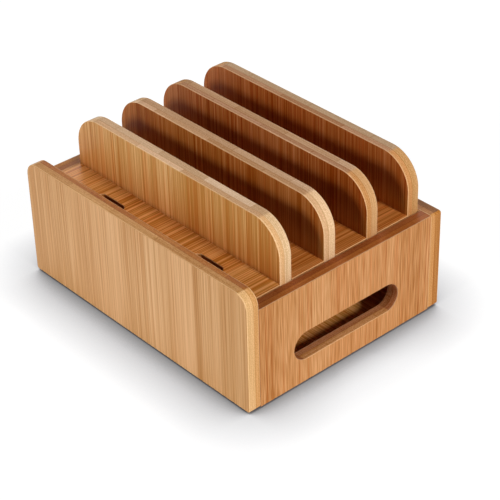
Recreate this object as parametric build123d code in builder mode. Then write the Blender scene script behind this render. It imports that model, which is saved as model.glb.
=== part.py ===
"""Bamboo charging station organizer: an open box and a lift-off tray with four dividers."""

import os

from build123d import *

os.makedirs("parts", exist_ok=True)

# The box, outside, with its front at -Y and the origin on the table under its middle
box_length = 170.0
box_depth = 130.0
board = 7.5
front_height = 66.7
wall_height = 56.7
front_corner_radius = 8.0
small_corner_radius = 1.5
edge_ease = 0.5

# Cut-out in each end panel, for a hand or a charger's lead
cutout_length = 70.5
cutout_height = 16.0
cutout_rise = 21.2

# Floor, let into a rabbet round the foot of the walls
floor_thickness = 4.0
rabbet_depth = 3.5
floor_gap = 0.1

# Dowels that pin the front and back panels to the end panels
dowel_diameter = 4.0
dowel_length = 16.0
dowel_reach = 5.0
dowel_end_distance = 13.0
dowel_chamfer = 0.4
glue_gap = 0.05

# Cleats inside the end panels that the tray rests on
rest_width = 8.0
rest_height = 8.0
rest_chamfer = 1.5
rest_end_gap = 0.3

# Anti-slip pads under the corners
pad_diameter = 10.0
pad_thickness = 1.0
pad_inset = 12.0
pad_ease = 0.2

# Tray: deck, dividers and the lanes between them
tray_length_gap = 0.5
tray_depth_gap = 0.3
tray_proud = 0.3
divider_rise = 30.9
divider_corner_radius = 18.0
divider_count = 4
back_divider_gap = 1.1
front_lane_loss = 0.5
dado_depth = 2.5

# Cable slots, two in front of each divider
slot_length = 20.0
slot_width = 6.0
slot_spacing = 75.4
slot_shift = 2.0
slot_lead = 7.9
slot_ease = 0.4

# Countersunk screws that hold the dividers from below
screw_length = 16.0
screw_diameter = 3.0
screw_head_diameter = 6.0
screw_head_height = 1.5
screw_point_height = 3.0
screw_spacing = 100.0
screw_gap = 0.05
recess_length = 3.2
recess_width = 0.8
recess_depth = 1.0

# Places worked out from the sizes above
half_length = box_length / 2
half_depth = box_depth / 2
inner_x = half_length - board
inner_y = half_depth - board
base_z = pad_thickness
wall_top = base_z + wall_height
deck_top = wall_top + tray_proud
deck_bottom = deck_top - board
deck_length = 2 * (inner_x - tray_length_gap)
deck_depth = 2 * (inner_y - tray_depth_gap)
rabbet_x = inner_x + rabbet_depth
rabbet_y = inner_y + rabbet_depth
divider_pitch = (2 * inner_y + front_lane_loss - back_divider_gap) / divider_count
first_face = divider_pitch - board - front_lane_loss - inner_y
divider_faces = [first_face + divider_pitch * n for n in range(divider_count)]
slot_xs = [slot_shift + side * slot_spacing / 2 for side in (-1, 1)]
slot_ys = [slot_lead - inner_y + divider_pitch * n for n in range(divider_count)]
slot_centres = [(x, y) for y in slot_ys for x in slot_xs]
screw_xs = [side * screw_spacing / 2 for side in (-1, 1)]
screw_feet = [(x, face + board / 2, deck_bottom) for face in divider_faces for x in screw_xs]
dowel_zs = [base_z + dowel_end_distance, wall_top - dowel_end_distance]
dowel_y = inner_y + dowel_reach - dowel_length / 2
dowel_centres = [
    (x_side * (half_length - board / 2), y_side * dowel_y, z)
    for x_side in (-1, 1)
    for y_side in (-1, 1)
    for z in dowel_zs
]
STANDING = (Align.CENTER, Align.CENTER, Align.MIN)


def cut_floor_rabbet():
    """Takes the floor's place out of the wall that is being built."""
    with Locations((0, 0, base_z)):
        Box(2 * rabbet_x, 2 * rabbet_y, floor_thickness, align=STANDING, mode=Mode.SUBTRACT)


def cut_dowel_holes():
    """Takes the dowels' places out of the wall that is being built."""
    hole_length = dowel_length + 2 * glue_gap
    with Locations(*dowel_centres):
        Cylinder(dowel_diameter / 2 + glue_gap, hole_length, rotation=(90, 0, 0), mode=Mode.SUBTRACT)


def shape_screws(gap, mode):
    """Adds or cuts every screw's head, shank and point, grown by a gap."""
    shank_radius = screw_diameter / 2 + gap
    shank_height = screw_length - screw_head_height - screw_point_height
    with Locations(*screw_feet):
        Cone(screw_head_diameter / 2 + gap, shank_radius, screw_head_height, align=STANDING, mode=mode)
        with Locations((0, 0, screw_head_height)):
            Cylinder(shank_radius, shank_height, align=STANDING, mode=mode)
        with Locations((0, 0, screw_head_height + shank_height)):
            Cone(shank_radius, gap, screw_point_height + gap, align=STANDING, mode=mode)


def long_panel(side, height, top_radius):
    """The front panel (side -1) or the back panel (side 1), as long as the box."""
    with BuildPart() as panel:
        with BuildSketch(Plane.XZ.offset(-side * half_depth)) as outline:
            with Locations((0, base_z + height / 2)):
                Rectangle(box_length, height)
            fillet(outline.vertices().group_by(Axis.Y)[0], small_corner_radius)
            fillet(outline.vertices().group_by(Axis.Y)[-1], top_radius)
        extrude(amount=side * board)
        faces = panel.faces().filter_by(Axis.Y)
        fillet(faces.edges(), edge_ease)
        cut_floor_rabbet()
        cut_dowel_holes()
    return panel.part


def end_panel(side):
    """The left (side -1) or right (side 1) end panel, between the two long ones."""
    with BuildPart() as panel:
        with BuildSketch(Plane.YZ.offset(side * half_length)):
            with Locations((0, base_z + wall_height / 2)):
                Rectangle(2 * inner_y, wall_height)
            with Locations((0, base_z + cutout_rise)):
                SlotOverall(cutout_length, cutout_height, mode=Mode.SUBTRACT)
        extrude(amount=-side * board)
        faces = panel.faces().filter_by(Axis.X)
        rims = faces.edges().filter_by_position(Axis.Y, -cutout_length / 2, cutout_length / 2)
        fillet(rims, edge_ease)
        cut_floor_rabbet()
        cut_dowel_holes()
    return panel.part


def tray_rest(side):
    """The cleat inside the left (side -1) or right (side 1) end panel."""
    with BuildPart() as cleat:
        with BuildSketch(Plane.XY.offset(deck_bottom)):
            with Locations((side * (inner_x - rest_width / 2), 0)):
                Rectangle(rest_width, 2 * (inner_y - rest_end_gap))
        extrude(amount=-rest_height)
        long_edges = cleat.edges().filter_by(Axis.Y)
        inner_edge = long_edges.group_by(Axis.Z)[0].sort_by(Axis.X)[0 if side > 0 else -1]
        chamfer(inner_edge, rest_chamfer)
    return cleat.part


def foot_pad(x_side, y_side):
    """One round anti-slip pad, stuck under the floor near a corner."""
    with BuildPart() as pad:
        with BuildSketch(Plane.XY):
            with Locations((x_side * (half_length - pad_inset), y_side * (half_depth - pad_inset))):
                Circle(pad_diameter / 2)
        extrude(amount=pad_thickness)
        chamfer(pad.edges().group_by(Axis.Z)[0], pad_ease)
    return pad.part


def divider(face_y):
    """One upright divider, its front face at face_y and its foot in the deck's dado."""
    with BuildPart() as plate:
        foot_z = deck_top - dado_depth
        plate_height = dado_depth + divider_rise
        with BuildSketch(Plane.XZ.offset(-face_y)) as outline:
            with Locations((0, foot_z + plate_height / 2)):
                Rectangle(deck_length, plate_height)
            fillet(outline.vertices().group_by(Axis.Y)[-1], divider_corner_radius)
        extrude(amount=-board)
        rims = plate.faces().filter_by(Axis.Y).edges()
        fillet(rims.filter_by_position(Axis.Z, deck_top, deck_top + divider_rise), edge_ease)
        shape_screws(screw_gap, Mode.SUBTRACT)
    return plate.part


def finish(piece, name):
    """Names a finished piece and writes it."""
    piece.label = name
    export_step(piece, f"parts/{name}.step")


front_panel = long_panel(-1, front_height, front_corner_radius)
back_panel = long_panel(1, wall_height, small_corner_radius)
left_end_panel = end_panel(-1)
right_end_panel = end_panel(1)

with BuildPart() as floor_panel:
    with BuildSketch(Plane.XY.offset(base_z)):
        Rectangle(2 * (rabbet_x - floor_gap), 2 * (rabbet_y - floor_gap))
    extrude(amount=floor_thickness)

with BuildPart() as corner_dowels:
    with Locations(*dowel_centres):
        Cylinder(dowel_diameter / 2, dowel_length, rotation=(90, 0, 0))
    chamfer(corner_dowels.edges().filter_by(GeomType.CIRCLE), dowel_chamfer)

with BuildPart() as tray_deck:
    with BuildSketch(Plane.XY.offset(deck_top)):
        Rectangle(deck_length, deck_depth)
        with Locations(*slot_centres):
            SlotOverall(slot_length, slot_width, mode=Mode.SUBTRACT)
    extrude(amount=-board)
    top_face = tray_deck.faces().sort_by(Axis.Z)[-1]
    fillet(top_face.outer_wire().edges(), edge_ease)
    fillet(tray_deck.faces().sort_by(Axis.Z)[-1].inner_wires().edges(), slot_ease)
    for face_y in divider_faces:
        with Locations((0, face_y + board / 2, deck_top - dado_depth)):
            Box(deck_length, board, dado_depth, align=STANDING, mode=Mode.SUBTRACT)
    shape_screws(screw_gap, Mode.SUBTRACT)

with BuildPart() as divider_screws:
    shape_screws(0, Mode.ADD)
    with Locations(*screw_feet):
        Box(recess_length, recess_width, recess_depth, align=STANDING, mode=Mode.SUBTRACT)
        Box(recess_width, recess_length, recess_depth, align=STANDING, mode=Mode.SUBTRACT)

finish(front_panel, "front_panel")
finish(back_panel, "back_panel")
finish(left_end_panel, "left_end_panel")
finish(right_end_panel, "right_end_panel")
finish(floor_panel.part, "floor_panel")
finish(tray_rest(-1), "left_tray_rest")
finish(tray_rest(1), "right_tray_rest")
finish(corner_dowels.part, "corner_dowels")
finish(tray_deck.part, "tray_deck")
finish(divider_screws.part, "divider_screws")
for y_side, y_name in ((-1, "front"), (1, "back")):
    for x_side, x_name in ((-1, "left"), (1, "right")):
        finish(foot_pad(x_side, y_side), f"{y_name}_{x_name}_foot_pad")
for number, face_y in enumerate(divider_faces, start=1):
    finish(divider(face_y), f"divider_{number}")
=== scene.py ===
"""Looks of the bamboo charging station organizer: finishes of its boards and fittings, light and camera."""
import math
from dataclasses import dataclass

import bpy
from mathutils import Matrix, Vector


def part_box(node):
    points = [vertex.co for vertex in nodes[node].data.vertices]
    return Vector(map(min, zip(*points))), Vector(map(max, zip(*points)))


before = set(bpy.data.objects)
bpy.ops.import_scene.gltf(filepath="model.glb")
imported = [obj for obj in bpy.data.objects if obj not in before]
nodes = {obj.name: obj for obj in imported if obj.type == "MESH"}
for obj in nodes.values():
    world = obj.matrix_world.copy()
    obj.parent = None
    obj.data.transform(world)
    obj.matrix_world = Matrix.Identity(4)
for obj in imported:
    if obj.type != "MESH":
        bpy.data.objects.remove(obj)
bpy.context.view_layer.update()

MM = 0.001

# Where the boards are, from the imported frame
FRONT_LOW, FRONT_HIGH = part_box("front_panel")
_, BACK_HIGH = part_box("back_panel")
_, DECK_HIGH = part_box("tray_deck")
FLOOR_LOW, FLOOR_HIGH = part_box("floor_panel")
_, RIGHT_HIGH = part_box("right_end_panel")
LEFT_LOW, LEFT_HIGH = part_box("left_end_panel")
FIRST_DIVIDER_LOW, FIRST_DIVIDER_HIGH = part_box("divider_1")
BOARD = FRONT_HIGH.y - FRONT_LOW.y

# The camera, solved from the picture's straight edges
CAMERA_TARGET = Vector((15.24, -1.07, 31.0)) * MM
CAMERA_DISTANCE = 875.14 * MM
CAMERA_AZIMUTH = math.radians(48.93)
CAMERA_ELEVATION = math.radians(33.84)
CAMERA_ROLL = math.radians(-1.56)
FOCAL_PIXELS = 1716.64
PICTURE_PIXELS = 500
SENSOR_WIDTH = 36.0
CLIP_START = 0.01
CLIP_END = 20.0

# How much of a lift a written colour takes in its red, green and blue
LIFT_SHARES = (0.85, 1.0, 1.2)

# Places along a wood's tone, each with the lift of its colour there
STAIN_STOPS = ((0.0, -0.13), (0.5, 0.0), (1.0, 0.11))


def linear(part):
    """The linear value that a shader takes for one part of a written colour, by the sRGB curve."""
    part = min(1.0, max(0.0, part))
    return part / 12.92 if part <= 0.04045 else ((part + 0.055) / 1.055) ** 2.4


def colour(code, lift=0.0):
    """A written colour, as in RRGGBB, made lighter or darker by a lift."""
    parts = [int(code[start:start + 2], 16) / 255 for start in (0, 2, 4)]
    return (*[linear(part + lift * share) for part, share in zip(parts, LIFT_SHARES)], 1.0)


class Finish:
    """A new material, with short ways to add the nodes that the finishes share."""

    # How a fibre layer's seed is spread, so that its three axes don't repeat each other
    ACROSS_SEED = 3.7
    THROUGH_SEED = 1.9

    def __init__(self, name):
        self.material = bpy.data.materials.new(name)
        self.material.use_nodes = True
        self.tree = self.material.node_tree
        self.shader = self.tree.nodes["Principled BSDF"]
        self.spot = self.node("ShaderNodeTexCoord").outputs["Object"]
        self.x, self.y, self.z = self.node("ShaderNodeSeparateXYZ", Vector=self.spot).outputs

    def feed(self, socket, value):
        """Sets a socket to a number or colour, or links another node's output to it."""
        if isinstance(value, bpy.types.NodeSocket):
            self.tree.links.new(value, socket)
        else:
            socket.default_value = value

    def give(self, name, value):
        """Sets or links one of the shader's inputs."""
        self.feed(self.shader.inputs[name], value)

    def node(self, kind, settings=None, **inputs):
        """Adds a node with its settings and inputs."""
        made = self.tree.nodes.new(kind)
        for key, value in (settings or {}).items():
            setattr(made, key, value)
        for key, value in inputs.items():
            self.feed(made.inputs[key.replace("_", " ")], value)
        return made

    def sum(self, operation, *values, clamp=False):
        """One step of arithmetic."""
        made = self.tree.nodes.new("ShaderNodeMath")
        made.operation = operation
        made.use_clamp = clamp
        for socket, value in zip(made.inputs, values):
            self.feed(socket, value)
        return made.outputs[0]

    def scaled(self, value, factor, shift=0.0):
        """value * factor + shift."""
        return self.sum("MULTIPLY_ADD", value, factor, shift)

    def centred(self, value, factor):
        """A value from 0 to 1, scaled and shifted so that its middle comes to 0."""
        return self.scaled(value, factor, -factor / 2)

    def to_end(self, value):
        """How far a value from 0 to 1 is from the nearer of the two."""
        return self.sum("MINIMUM", value, self.sum("SUBTRACT", 1.0, value))

    def place(self, a, b, c):
        """A vector from three values."""
        return self.node("ShaderNodeCombineXYZ", X=a, Y=b, Z=c).outputs[0]

    def noise(self, vector, detail=0.0):
        """Soft noise of cell size 1, from 0 to 1."""
        return self.node("ShaderNodeTexNoise", Vector=vector, Scale=1.0, Detail=detail).outputs[0]

    def speckle(self, size, detail):
        """Noise in cells of a size in mm, the same along every axis."""
        scale = 1 / (size * MM)
        return self.node("ShaderNodeTexNoise", Vector=self.spot, Scale=scale, Detail=detail).outputs[0]

    def chance(self, number, seed):
        """A steady random value from 0 to 1 for each whole number."""
        made = self.node("ShaderNodeTexWhiteNoise", {"noise_dimensions": "1D"})
        self.feed(made.inputs["W"], self.sum("ADD", number, seed))
        return made.outputs["Value"]

    def step(self, value, start, end, low=0.0, high=1.0):
        """Goes smoothly from low to high as value goes from start to end."""
        made = self.node("ShaderNodeMapRange", {"interpolation_type": "SMOOTHSTEP"}, Value=value)
        for name, number in (("From Min", start), ("From Max", end), ("To Min", low), ("To Max", high)):
            made.inputs[name].default_value = number
        return made.outputs[0]

    def ramp(self, value, *stops):
        """Colours along a value, each stop a place and a written colour."""
        made = self.node("ShaderNodeValToRGB", Fac=value)
        steps = made.color_ramp.elements
        while len(steps) < len(stops):
            steps.new(1.0)
        for step, (place, code) in zip(steps, stops):
            step.position = place
            step.color = colour(code)
        return made.outputs[0]

    def stained(self, tone, code, spread=1.0):
        """A wood colour that goes from darker to lighter as tone goes from 0 to 1."""
        made = self.node("ShaderNodeValToRGB", Fac=tone)
        steps = made.color_ramp.elements
        steps.new(0.5)
        for step, (place, lift) in zip(steps, STAIN_STOPS):
            step.position = place
            step.color = colour(code, lift * spread)
        return made.outputs[0]

    def mix(self, share, first, second, blend="MIX"):
        """Goes from the first colour to the second."""
        made = self.tree.nodes.new("ShaderNodeMix")
        made.data_type = "RGBA"
        made.blend_type = blend
        for socket, value in ((made.inputs[0], share), (made.inputs[6], first), (made.inputs[7], second)):
            self.feed(socket, value)
        return made.outputs[2]

    def tinted(self, base, code):
        """A colour multiplied by a written one."""
        return self.mix(1.0, base, colour(code), "MULTIPLY")

    def fibres(self, along, across, through, layers, seed):
        """Tone of fibres drawn out along the grain, in layers."""
        tone = 0.5
        for width, length, strength in layers:
            vector = self.place(
                self.scaled(along, 1 / (length * MM), seed),
                self.scaled(across, 1 / (width * MM), seed * self.ACROSS_SEED),
                self.scaled(through, 1 / (width * MM), seed * self.THROUGH_SEED))
            tone = self.sum("ADD", tone, self.centred(self.noise(vector, detail=1.0), strength))
        return tone

    def bump(self, height, depth):
        """Relief of a depth in mm."""
        made = self.node("ShaderNodeBump", Height=height, Strength=1.0, Distance=depth * MM)
        self.give("Normal", made.outputs[0])


# Layers of fibres, each a width and a length in mm and a strength
CALM = ((14.0, 400.0, 0.45), (2.4, 200.0, 0.45), (1.0, 130.0, 0.7), (0.4, 80.0, 1.9))
DASHED = ((14.0, 400.0, 0.3), (2.4, 110.0, 0.3), (0.9, 50.0, 0.65), (0.4, 15.0, 2.0))
FINE = ((12.0, 400.0, 0.4), (2.4, 200.0, 0.4), (1.0, 110.0, 0.55), (0.4, 70.0, 2.2))
LIVELY = ((12.0, 400.0, 0.4), (2.4, 200.0, 0.5), (1.0, 110.0, 0.9), (0.4, 70.0, 2.3))
STRIPED = ((12.0, 400.0, 0.3), (2.4, 260.0, 1.1), (1.0, 160.0, 2.6), (0.45, 80.0, 3.0))


@dataclass
class Face:
    """How a board's two broad faces look."""

    # A written colour, and the fibres over it
    tone: str
    layers: tuple = CALM
    # The strips' width in mm, and how far their tones differ
    strip: float = 19.0
    strip_spread: float = 0.16
    # Steps of tone across the board, each a place across it in mm and the change of tone there; some are
    # painted light
    tone_steps: tuple = ()
    # How strongly strips and streaks turn warmer
    blushing: float = 1.0
    # Painted shade: an axis, where the tint starts and is full along it, and the tint
    painted_shade: tuple = None
    # Heights between which another tone gives way to the face's own, and that tone: a lighter foot, painted
    # light on a shaded face
    foot: tuple = None
    # The tone of the face behind, where it is another one
    back_tone: str = None


@dataclass
class Edge:
    """How a board's narrow sides look."""

    # Tones of the ply at the face and of the ply behind it, beside the grain and across it
    tones: tuple
    cross_tones: tuple
    # The share of the thickness that the ply at the face has
    ply_split: float = 0.5
    # The pieces' length in mm, and how far their tones differ
    segment: float = 34.0
    segment_spread: float = 0.5
    # Where the joints are counted from, in mm from the middle, or None for a place by the seed
    first_joint: float = None
    # The height of a top edge that is oiled, and the oil's tint
    oiled_above: tuple = None


class Board(Finish):
    """The finish of a laminated bamboo board: strips on its faces, plies and end grain on its edges.

    The axes are along the grain, across it and through the board. The face is at a place along the last
    of them, with the sign of the way from there into the wood."""

    # Strips of uneven width, their seams and the streaks in them. Lengths are in mm, or in strips
    DRIFT_STRIPS = 2.2
    DRIFT_REACH = 1.1
    SEAM_SHARE = 0.025
    SEAM_DARKENING = 0.08
    STEP_BLUR = 0.4
    STREAK_LENGTH = 140.0
    STREAK_WIDTH = 1.5
    STREAK_RISE = (0.52, 0.72)
    STREAK_DARKENING = 0.12
    STRIP_BLUSH = 0.4
    STREAK_BLUSH = 0.6
    BLUSH = "FBE0C8"

    # Depths, in shares of the thickness, between which the tone of the face behind takes over
    BACK_RISE = (0.4, 0.6)

    # Plies, the glue between them, the joints along them and their pores. Lengths are in mm, or in shares
    PLY_BLUR = 0.01
    PLY_STAGGER = 0.6
    RUN_SLANT = 0.2
    JOINT_SHARE = 0.014
    JOINT_DARKENING = 0.35
    JOINT_CHANCE = 0.37
    GLUE_SHARE = 0.035
    GLUE_DARKENING = 0.6
    EDGE_FIBRE_LENGTH = 45.0
    EDGE_FIBRE_WIDTH = 0.45
    PORE_SIZE = 0.5
    PORE_STRENGTH = 1.3
    END_GRAIN_RISE = (0.965, 0.99)
    OIL_START = 1.2
    OIL_FULL = 0.6

    # The eased rim between a face and an edge, in shares of the thickness, is rubbed a little paler, which
    # also paints a highlight along it
    RIM_RISE = (0.002, 0.02)
    RIM_FALL = (0.05, 0.085)
    EDGE_RISE = (0.004, 0.02)
    RIM_WEAR_AND_HIGHLIGHT = "F0CFA2"
    RIM_WEAR_AND_HIGHLIGHT_SHARE = 0.34

    # Offsets of the seed, so that hues, edge pieces and the second ply draw chances of their own
    HUE_SEED = 50.0
    EDGE_SEED = 9.0
    PLY_SEED = 31.0

    # Keeps a division from meeting zero
    TINY = 0.0001

    # The faces' roughness, what fibres and edges add to it, and the fibres' relief in mm
    FACE_ROUGHNESS = 0.36
    FIBRE_ROUGHNESS = 0.12
    EDGE_ROUGHNESS = 0.1
    FIBRE_RELIEF = 0.015

    def __init__(self, name, axes, face_at, thick, seed):
        super().__init__(name)
        face_place, inward = face_at
        self.axes = axes
        self.seed = seed
        self.spots = {"X": self.x, "Y": self.y, "Z": self.z}
        self.along, self.across, self.through = [self.spots[axis] for axis in axes]
        self.depth = self.scaled(self.through, inward / thick, -face_place * inward / thick)

    def strip_lane(self, width):
        """A strip's running number and its own place across, for strips of uneven width."""
        slow = self.scaled(self.across, 1 / (self.DRIFT_STRIPS * width), self.seed)
        drift = self.scaled(self.noise(self.place(slow, self.seed, 0.0)), self.DRIFT_REACH)
        return self.sum("ADD", self.scaled(self.across, 1 / width, self.seed), drift)

    def strip_tone(self, face, fibre):
        """The fibres' tone with each strip's own, the seams' and the listed steps of tone, and a hue for
        each strip.
        """
        lane = self.strip_lane(face.strip * MM)
        number = self.sum("FLOOR", lane)
        own = self.chance(number, self.seed)
        hue = self.chance(number, self.seed + self.HUE_SEED)
        seam = self.step(self.to_end(self.sum("FRACT", lane)), 0.0, self.SEAM_SHARE, 1.0, 0.0)
        tone = self.sum("ADD", fibre, self.centred(own, face.strip_spread))
        tone = self.sum("SUBTRACT", tone, self.scaled(seam, self.SEAM_DARKENING))
        # Steps of tone across the board; some of them are painted light
        for step_at, change in face.tone_steps:
            start = (step_at - self.STEP_BLUR) * MM
            end = (step_at + self.STEP_BLUR) * MM
            tone = self.sum("ADD", tone, self.step(self.across, start, end, 0.0, change))
        return tone, hue

    def face_colour(self, face, fibre):
        """The colour of the two faces."""
        tone, hue = self.strip_tone(face, fibre)
        streak_spot = self.place(
            self.scaled(self.along, 1 / (self.STREAK_LENGTH * MM), self.seed),
            self.scaled(self.across, 1 / (self.STREAK_WIDTH * MM)),
            self.seed)
        streak = self.step(self.noise(streak_spot), *self.STREAK_RISE)
        tone = self.sum("SUBTRACT", tone, self.scaled(streak, self.STREAK_DARKENING))
        made = self.stained(tone, face.tone)
        # Painted light: a lighter tone at the foot of a shaded face
        if face.foot is not None:
            foot_low, foot_high, foot_tone = face.foot
            above = self.step(self.z, foot_low, foot_high)
            made = self.mix(above, self.stained(tone, foot_tone), made)
        if face.back_tone is not None:
            behind = self.step(self.depth, *self.BACK_RISE)
            made = self.mix(behind, made, self.stained(tone, face.back_tone))
        strip_blush = self.scaled(hue, self.STRIP_BLUSH * face.blushing)
        streak_blush = self.scaled(streak, self.STREAK_BLUSH * face.blushing)
        blush = self.sum("ADD", strip_blush, streak_blush, clamp=True)
        made = self.mix(blush, made, self.tinted(made, self.BLUSH))
        # Painted shade: the colour tinted darker along an axis
        if face.painted_shade is not None:
            axis, open_at, closed_at, tint = face.painted_shade
            in_shade = self.step(self.spots[axis], open_at, closed_at)
            made = self.mix(in_shade, made, self.tinted(made, tint))
        return made

    def edge_tone(self, edge, ply):
        """The tone along an edge: fibres and pores, the pieces of each ply, their joints and the glue."""
        run = self.sum("ADD", self.across, self.scaled(self.along, self.RUN_SLANT))
        if edge.first_joint is None:
            shift = self.JOINT_CHANCE * self.seed
        else:
            shift = -edge.first_joint / edge.segment
        lane = self.scaled(run, 1 / (edge.segment * MM), shift)
        lane = self.sum("ADD", lane, self.scaled(ply, self.PLY_STAGGER))
        number = self.sum("FLOOR", lane)
        piece = self.sum("ADD", number, self.scaled(ply, self.PLY_SEED))
        own = self.chance(piece, self.seed + self.EDGE_SEED)
        fibre_spot = self.place(
            self.scaled(self.across, 1 / (self.EDGE_FIBRE_LENGTH * MM), self.seed),
            self.scaled(self.along, 1 / (self.EDGE_FIBRE_LENGTH * MM), self.seed),
            self.scaled(self.through, 1 / (self.EDGE_FIBRE_WIDTH * MM), self.seed))
        fibre = self.noise(fibre_spot, detail=1.5)
        pores = self.centred(self.speckle(self.PORE_SIZE, detail=1.0), self.PORE_STRENGTH)
        joint = self.step(self.to_end(self.sum("FRACT", lane)), 0.0, self.JOINT_SHARE, 1.0, 0.0)
        off_glue = self.sum("ABSOLUTE", self.sum("SUBTRACT", self.depth, edge.ply_split))
        glue = self.step(off_glue, 0.0, self.GLUE_SHARE, 1.0, 0.0)
        dark = self.sum(
            "MAXIMUM", self.scaled(joint, self.JOINT_DARKENING), self.scaled(glue, self.GLUE_DARKENING))
        tone = self.sum("ADD", fibre, self.centred(own, edge.segment_spread))
        return self.sum("SUBTRACT", self.sum("ADD", tone, pores), dark)

    def end_grain(self):
        """1 where an edge faces along the grain and cuts its fibres, 0 where it runs beside them."""
        facing = self.node("ShaderNodeTexCoord").outputs["Normal"]
        turns = dict(zip("XYZ", self.node("ShaderNodeSeparateXYZ", Vector=facing).outputs))
        steep = turns[self.axes[0]]
        flat = turns[self.axes[1]]
        squares = self.sum(
            "ADD", self.sum("MULTIPLY", steep, steep), self.sum("MULTIPLY_ADD", flat, flat, self.TINY))
        share = self.sum("DIVIDE", self.sum("ABSOLUTE", steep), self.sum("SQRT", squares))
        return self.step(share, *self.END_GRAIN_RISE)

    def edge_colour(self, edge):
        """The colour of the narrow sides."""
        ply = self.step(self.depth, edge.ply_split - self.PLY_BLUR, edge.ply_split + self.PLY_BLUR)
        tone = self.edge_tone(edge, ply)
        beside = self.mix(ply, *[self.stained(tone, code) for code in edge.tones])
        across = self.mix(ply, *[self.stained(tone, code) for code in edge.cross_tones])
        made = self.mix(self.end_grain(), beside, across)
        if edge.oiled_above is not None:
            top, oil = edge.oiled_above
            oiled = self.step(self.z, top - self.OIL_START * MM, top - self.OIL_FULL * MM)
            made = self.mix(oiled, made, self.tinted(made, oil))
        return made

    def paint(self, face, edge, gloss):
        """Puts the faces, the edges and the rubbed rims between them, with their painted highlight,
        together.
        """
        fibre = self.fibres(self.along, self.across, self.through, face.layers, self.seed)
        face_colour = self.face_colour(face, fibre)
        edge_colour = self.edge_colour(edge)
        side = self.to_end(self.depth)
        # The rims: rubbed paler, and a painted highlight along them
        rubbed = self.sum(
            "MULTIPLY", self.step(side, *self.RIM_RISE), self.step(side, *self.RIM_FALL, 1.0, 0.0))
        edge_colour = self.mix(self.scaled(rubbed, self.RIM_WEAR_AND_HIGHLIGHT_SHARE), edge_colour, colour(self.RIM_WEAR_AND_HIGHLIGHT))
        on_edge = self.step(side, *self.EDGE_RISE)
        rough = self.sum(
            "ADD", self.scaled(fibre, self.FIBRE_ROUGHNESS, self.FACE_ROUGHNESS),
            self.scaled(on_edge, self.EDGE_ROUGHNESS))
        self.give("Base Color", self.mix(on_edge, face_colour, edge_colour))
        self.give("Roughness", rough)
        self.shader.inputs["Specular IOR Level"].default_value = gloss
        self.bump(fibre, self.FIBRE_RELIEF)


def bamboo(name, axes, face_at, face, edge, seed, gloss, thick=BOARD):
    """A bamboo board's material."""
    board = Board(name, axes, face_at, thick, seed)
    board.paint(face, edge, gloss)
    return board.material


def wear(piece, material):
    """Puts a material in every slot of a node's object."""
    for slot in piece.material_slots:
        slot.material = material


FRONT_FACE = Face(
    "C89761", strip_spread=0.05, blushing=0.35,
    tone_steps=((-79, 0.02), (-47, 0.08), (-28, 0.15), (-9, -0.15), (12, 0.08), (32, 0.05), (47, -0.4),
           (51, 0.25), (66, -0.16)))
FRONT_EDGE = Edge(("E2B176", "E0A86B"), ("B78142", "A56119"), ply_split=0.58)
BACK_EDGE = Edge(("BC7D3B", "C68745"), ("8A5726", "A0662F"), ply_split=0.55)
END_TONE = "C58B51"
END_SEAMS = ((-35, 0.12), (-24, 0.08), (-9, -0.08), (36, -0.14))
END_EDGE_TONES = (("AE6B3F", "A66A3F"), ("D39358", "BD7D51"))
wear(nodes["front_panel"],
     bamboo("bamboo_front", "ZXY", (FRONT_LOW.y, 1), FRONT_FACE, FRONT_EDGE, seed=2.9, gloss=0.2))
wear(nodes["back_panel"],
     bamboo("bamboo_back", "ZXY", (BACK_HIGH.y, -1), Face("C48A50"), BACK_EDGE, seed=11.0, gloss=0.15))
wear(nodes["right_end_panel"],
     bamboo("bamboo_right_end", "ZYX", (RIGHT_HIGH.x, -1),
            Face(END_TONE, DASHED, strip_spread=0.05, tone_steps=END_SEAMS),
            Edge(*END_EDGE_TONES, segment_spread=0.25, oiled_above=(RIGHT_HIGH.z, "C3A178")),
            seed=17.0, gloss=0.15))
wear(nodes["left_end_panel"],
     bamboo("bamboo_left_end", "ZYX", (LEFT_LOW.x, 1),
            Face(END_TONE, DASHED),
            Edge(*END_EDGE_TONES, segment_spread=0.25, oiled_above=(LEFT_HIGH.z, "DACEA1")),
            seed=23.0, gloss=0.15))

# The first divider's face darkens toward the deck, a painted shade. The others stand in the lanes' shade:
# their fronts are written darker than the wood as painted shade, less so at the foot, and their backs keep
# the wood's own tone
DIVIDER_BACK = "C08A52"
DIVIDER_FOOT_LOW = DECK_HIGH.z + 2.0 * MM
DIVIDER_FOOT_HIGH = DECK_HIGH.z + 16.0 * MM
DIVIDER_FACES = (
    Face("CD9E62", FINE, tone_steps=((-1, -0.3), (25, 0.22), (40, -0.22)),
         back_tone=DIVIDER_BACK, painted_shade=("Z", FIRST_DIVIDER_HIGH.z, DECK_HIGH.z, "F7E6D4")),
    # On dividers 2 to 4, the steps of tone at -90 and -64 mm paint light on the left ends
    Face("A1622A", LIVELY, tone_steps=((-90, 0.36), (-64, -0.42), (-45, 0.06)),
         back_tone=DIVIDER_BACK, foot=(DIVIDER_FOOT_LOW, DIVIDER_FOOT_HIGH, "B88442")),
    Face("985523", LIVELY, tone_steps=((-90, 0.6), (-64, -0.45), (-40, -0.15), (30, -0.22)),
         back_tone=DIVIDER_BACK, foot=(DIVIDER_FOOT_LOW, DIVIDER_FOOT_HIGH, "AE7338")),
    Face("9B5522", LIVELY, tone_steps=((-90, 0.33), (-64, -0.33)),
         back_tone=DIVIDER_BACK, foot=(DIVIDER_FOOT_LOW, DIVIDER_FOOT_HIGH, "BA7C38")),
)

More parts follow.
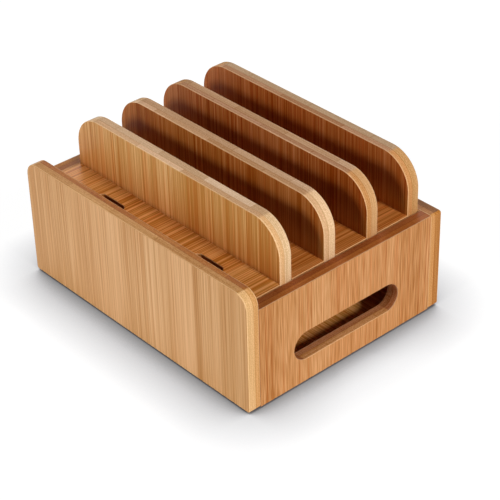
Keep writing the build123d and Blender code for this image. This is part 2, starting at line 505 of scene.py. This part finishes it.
# Each divider's edge tones and its pieces' length in mm. The joints keep off the rounded corners
DIVIDER_EDGES = (
    (("F0C08C", "F3CFA4"), ("D0A275", "D1AA82"), 34.0),
    (("E5B88C", "E6BD8F"), ("C19268", "C79D77"), 41.0),
    (("D2975F", "C5915A"), ("B3815C", "BE926A"), 37.0),
    (("CC8E54", "D19F68"), ("B7855F", "C3A17E"), 45.0),
)
DIVIDER_JOINT = 92.0
DIVIDER_SEED = 31.0
DIVIDER_SEED_STEP = 7.3
OPEN_GLOSS = 0.15
SHADED_GLOSS = 0.06
for number, (face, (tones, cross_tones, segment)) in enumerate(zip(DIVIDER_FACES, DIVIDER_EDGES)):
    name = f"divider_{number + 1}"
    low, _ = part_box(name)
    edge = Edge(
        tones, cross_tones, ply_split=0.42, segment=segment, segment_spread=0.7, first_joint=DIVIDER_JOINT)
    gloss = SHADED_GLOSS if number else OPEN_GLOSS
    wear(nodes[name],
         bamboo(f"bamboo_{name}", "ZXY", (low.y, 1), face, edge,
                seed=DIVIDER_SEED + DIVIDER_SEED_STEP * number, gloss=gloss))

# The deck is darker and redder behind the first divider, a painted shade of the lanes between the dividers
DECK_PAINTED_SHADE = ("Y", FIRST_DIVIDER_LOW.y, FIRST_DIVIDER_HIGH.y, "F7E0CF")
wear(nodes["tray_deck"],
     bamboo("bamboo_deck", "YXZ", (DECK_HIGH.z, -1),
            Face("D39149", STRIPED, strip=22.0, painted_shade=DECK_PAINTED_SHADE),
            Edge(("B87838", "985A26"), ("8A5020", "6E3E18")),
            seed=61.0, gloss=0.2))
wear(nodes["floor_panel"],
     bamboo("bamboo_floor", "XYZ", (FLOOR_HIGH.z, -1),
            Face("D2924E", LIVELY),
            Edge(("B07A44", "A06A36"), ("93602F", "663C18")),
            seed=71.0, gloss=0.05, thick=FLOOR_HIGH.z - FLOOR_LOW.z))
for name, outer_side, seed in (("left_tray_rest", -1, 83.0), ("right_tray_rest", 1, 84.0)):
    low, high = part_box(name)
    inner_face = low.x if outer_side > 0 else high.x
    wear(nodes[name],
         bamboo(f"bamboo_{name}", "YZX", (inner_face, outer_side),
                Face("BC8448", LIVELY),
                Edge(("B07A44", "A06A36"), ("93602F", "7A4C22")),
                seed=seed, gloss=0.05, thick=high.x - low.x))

# Fittings: the dowels' fibres, how many turned marks the screws have to the metre, and the tones of
# rubber and zinc
DOWEL_FIBRES = ((1.6, 30.0, 0.8), (0.4, 3.0, 1.4))
DOWEL_SEED = 5.0
ZINC_MARKS_ROUND = 120.0
ZINC_MARKS_ALONG = 4000.0
RUBBER_STOPS = ((0.3, "121212"), (0.6, "1E1E1F"), (0.9, "333231"))
ZINC_STOPS = ((0.3, "9C978A"), (0.5, "BDB8AA"), (0.7, "D6D2C6"))


def dowel_wood():
    """Pale beech with short flecks along the dowel."""
    finish = Finish("beech_dowel")
    tone = finish.fibres(finish.y, finish.x, finish.z, DOWEL_FIBRES, DOWEL_SEED)
    finish.give("Base Color", finish.stained(tone, "D2AC7C", spread=0.6))
    finish.give("Roughness", finish.scaled(tone, factor=0.2, shift=0.5))
    finish.bump(tone, depth=0.05)
    return finish.material


def pad_rubber():
    """Matt black rubber with a fine moulded grain, dusty in its hollows."""
    finish = Finish("pad_rubber_grain")
    grain = finish.speckle(size=0.4, detail=2.0)
    dust = finish.speckle(size=3.3, detail=3.0)
    tone = finish.sum("ADD", finish.scaled(grain, factor=0.6), finish.scaled(dust, factor=0.5))
    finish.give("Base Color", finish.ramp(tone, *RUBBER_STOPS))
    finish.give("Roughness", finish.scaled(dust, factor=0.25, shift=0.65))
    finish.bump(grain, depth=0.08)
    return finish.material


def screw_steel():
    """Zinc-plated steel, turned marks round the shank and rubbed spots."""
    finish = Finish("screw_zinc")
    finish.shader.inputs["Metallic"].default_value = 1.0
    marks = finish.place(
        finish.scaled(finish.x, ZINC_MARKS_ROUND),
        finish.scaled(finish.y, ZINC_MARKS_ROUND),
        finish.scaled(finish.z, ZINC_MARKS_ALONG))
    turned = finish.noise(marks, detail=1.0)
    rubbed = finish.speckle(size=1.4, detail=3.0)
    tone = finish.sum("ADD", finish.scaled(turned, factor=0.5), finish.scaled(rubbed, factor=0.5))
    finish.give("Base Color", finish.ramp(tone, *ZINC_STOPS))
    finish.give("Roughness", finish.scaled(rubbed, factor=0.3, shift=0.18))
    finish.bump(turned, depth=0.02)
    return finish.material


wear(nodes["corner_dowels"], dowel_wood())
wear(nodes["divider_screws"], screw_steel())
rubber = pad_rubber()
for name in ("front_left_foot_pad", "front_right_foot_pad", "back_left_foot_pad", "back_right_foot_pad"):
    wear(nodes[name], rubber)

# Far lamps: azimuth from the front by way of the right, elevation, strength, and width as an angle
LAMPS = (
    ("front_softbox", 0, 24, 1.4, 14),
    ("front_low_softbox", 0, 8, 0.5, 24),
    ("right_softbox", 93, 33, 2.2, 11),
    ("back_left_softbox", 230, 38, 0.6, 20),
)
for name, azimuth, elevation, strength, angle in LAMPS:
    data = bpy.data.lights.new(name, "SUN")
    data.energy = strength
    data.angle = math.radians(angle)
    lamp = bpy.data.objects.new(name, data)
    bpy.context.scene.collection.objects.link(lamp)
    turn = math.radians(azimuth)
    rise = math.radians(elevation)
    towards = Vector((math.sin(turn) * math.cos(rise), -math.cos(turn) * math.cos(rise), math.sin(rise)))
    lamp.rotation_euler = towards.to_track_quat("Z", "Y").to_euler()
    lamp.location = towards

ROUND_LIGHT = 0.08
BACKGROUND_LIGHT = 1.0


def build_world():
    """Dim all round light, and plain white where the camera and reflections look past the floor."""
    world = bpy.data.worlds.new("studio")
    bpy.context.scene.world = world
    world.use_nodes = True
    tree = world.node_tree
    tree.nodes.clear()
    path = tree.nodes.new("ShaderNodeLightPath")
    seen = tree.nodes.new("ShaderNodeMath")
    seen.operation = "MAXIMUM"
    tree.links.new(path.outputs["Is Camera Ray"], seen.inputs[0])
    tree.links.new(path.outputs["Is Glossy Ray"], seen.inputs[1])
    clear = tree.nodes.new("ShaderNodeMath")
    clear.operation = "MAXIMUM"
    tree.links.new(seen.outputs[0], clear.inputs[0])
    tree.links.new(path.outputs["Is Transmission Ray"], clear.inputs[1])
    mix = tree.nodes.new("ShaderNodeMixShader")
    tree.links.new(clear.outputs[0], mix.inputs[0])
    for socket, strength in ((mix.inputs[1], ROUND_LIGHT), (mix.inputs[2], BACKGROUND_LIGHT)):
        shade = tree.nodes.new("ShaderNodeBackground")
        shade.inputs["Color"].default_value = (1.0, 1.0, 1.0, 1.0)
        shade.inputs["Strength"].default_value = strength
        tree.links.new(shade.outputs[0], socket)
    out = tree.nodes.new("ShaderNodeOutputWorld")
    tree.links.new(mix.outputs[0], out.inputs[0])


build_world()

# The plain floor under the object, its size in metres
FLOOR_SIZE = 6.0
FLOOR_GREY = 0.9
FLOOR_ROUGHNESS = 0.9

# The floor's shadow as the camera sees it: how far it reaches, which way it leans, and its tones from
# closed in to open, with the glow that they have and the share of lit grey under it
SHADOW_REACH = 36.0 * MM
SHADOW_LEAN = (0.28, 0.68, 0.67)
SHADOW_SAMPLES = 32
SHADOW_STOPS = (
    (0.0, "0C0C0C"), (0.3, "3A3C40"), (0.45, "646669"), (0.55, "949597"),
    (0.68, "C8C8CA"), (0.8, "DEDEDF"), (0.93, "F1F1F2"), (1.0, "FFFFFF"))
SHADOW_GLOW = 0.95
LIT_GREY = 0.12


def build_floor():
    """A plain pale floor, which keeps the object's shadow."""
    bpy.ops.object.select_all(action="DESELECT")
    bpy.ops.mesh.primitive_plane_add(size=FLOOR_SIZE)
    ground = bpy.context.object
    ground.name = "floor"
    finish = Finish("floor_white")
    finish.shader.inputs["Base Color"].default_value = (FLOOR_GREY, FLOOR_GREY, FLOOR_GREY, 1.0)
    finish.shader.inputs["Roughness"].default_value = FLOOR_ROUGHNESS
    path = finish.node("ShaderNodeLightPath")
    seen = finish.sum("MAXIMUM", path.outputs["Is Camera Ray"], path.outputs["Is Glossy Ray"])
    seen = finish.sum("MAXIMUM", seen, path.outputs["Is Transmission Ray"])
    closed = finish.node(
        "ShaderNodeAmbientOcclusion", {"samples": SHADOW_SAMPLES},
        Distance=SHADOW_REACH, Normal=SHADOW_LEAN)
    shadow = finish.ramp(closed.outputs["AO"], *SHADOW_STOPS)
    glow = finish.node("ShaderNodeEmission", Color=shadow, Strength=SHADOW_GLOW)
    plain = finish.node("ShaderNodeBsdfDiffuse", Color=(LIT_GREY, LIT_GREY, LIT_GREY, 1.0))
    look = finish.node("ShaderNodeAddShader")
    finish.feed(look.inputs[0], glow.outputs[0])
    finish.feed(look.inputs[1], plain.outputs[0])
    both = finish.node("ShaderNodeMixShader")
    finish.feed(both.inputs[0], seen)
    finish.feed(both.inputs[1], finish.shader.outputs[0])
    finish.feed(both.inputs[2], look.outputs[0])
    finish.feed(finish.tree.nodes["Material Output"].inputs[0], both.outputs[0])
    ground.data.materials.append(finish.material)


build_floor()


def build_camera():
    """The picture's viewing angle."""
    side = Vector((math.cos(CAMERA_AZIMUTH), math.sin(CAMERA_AZIMUTH), 0.0))
    back = Vector((
        math.sin(CAMERA_AZIMUTH) * math.cos(CAMERA_ELEVATION),
        -math.cos(CAMERA_AZIMUTH) * math.cos(CAMERA_ELEVATION),
        math.sin(CAMERA_ELEVATION)))
    up = back.cross(side)
    right = side * math.cos(CAMERA_ROLL) + up * math.sin(CAMERA_ROLL)
    top = up * math.cos(CAMERA_ROLL) - side * math.sin(CAMERA_ROLL)
    data = bpy.data.cameras.new("camera")
    data.sensor_width = SENSOR_WIDTH
    data.lens = FOCAL_PIXELS * SENSOR_WIDTH / PICTURE_PIXELS
    data.clip_start = CLIP_START
    data.clip_end = CLIP_END
    camera = bpy.data.objects.new("camera", data)
    bpy.context.scene.collection.objects.link(camera)
    turn = Matrix((right, top, back)).transposed().to_4x4()
    camera.matrix_world = Matrix.Translation(CAMERA_TARGET + back * CAMERA_DISTANCE) @ turn
    bpy.context.scene.camera = camera


build_camera()
bpy.context.scene.view_settings.view_transform = "Standard"
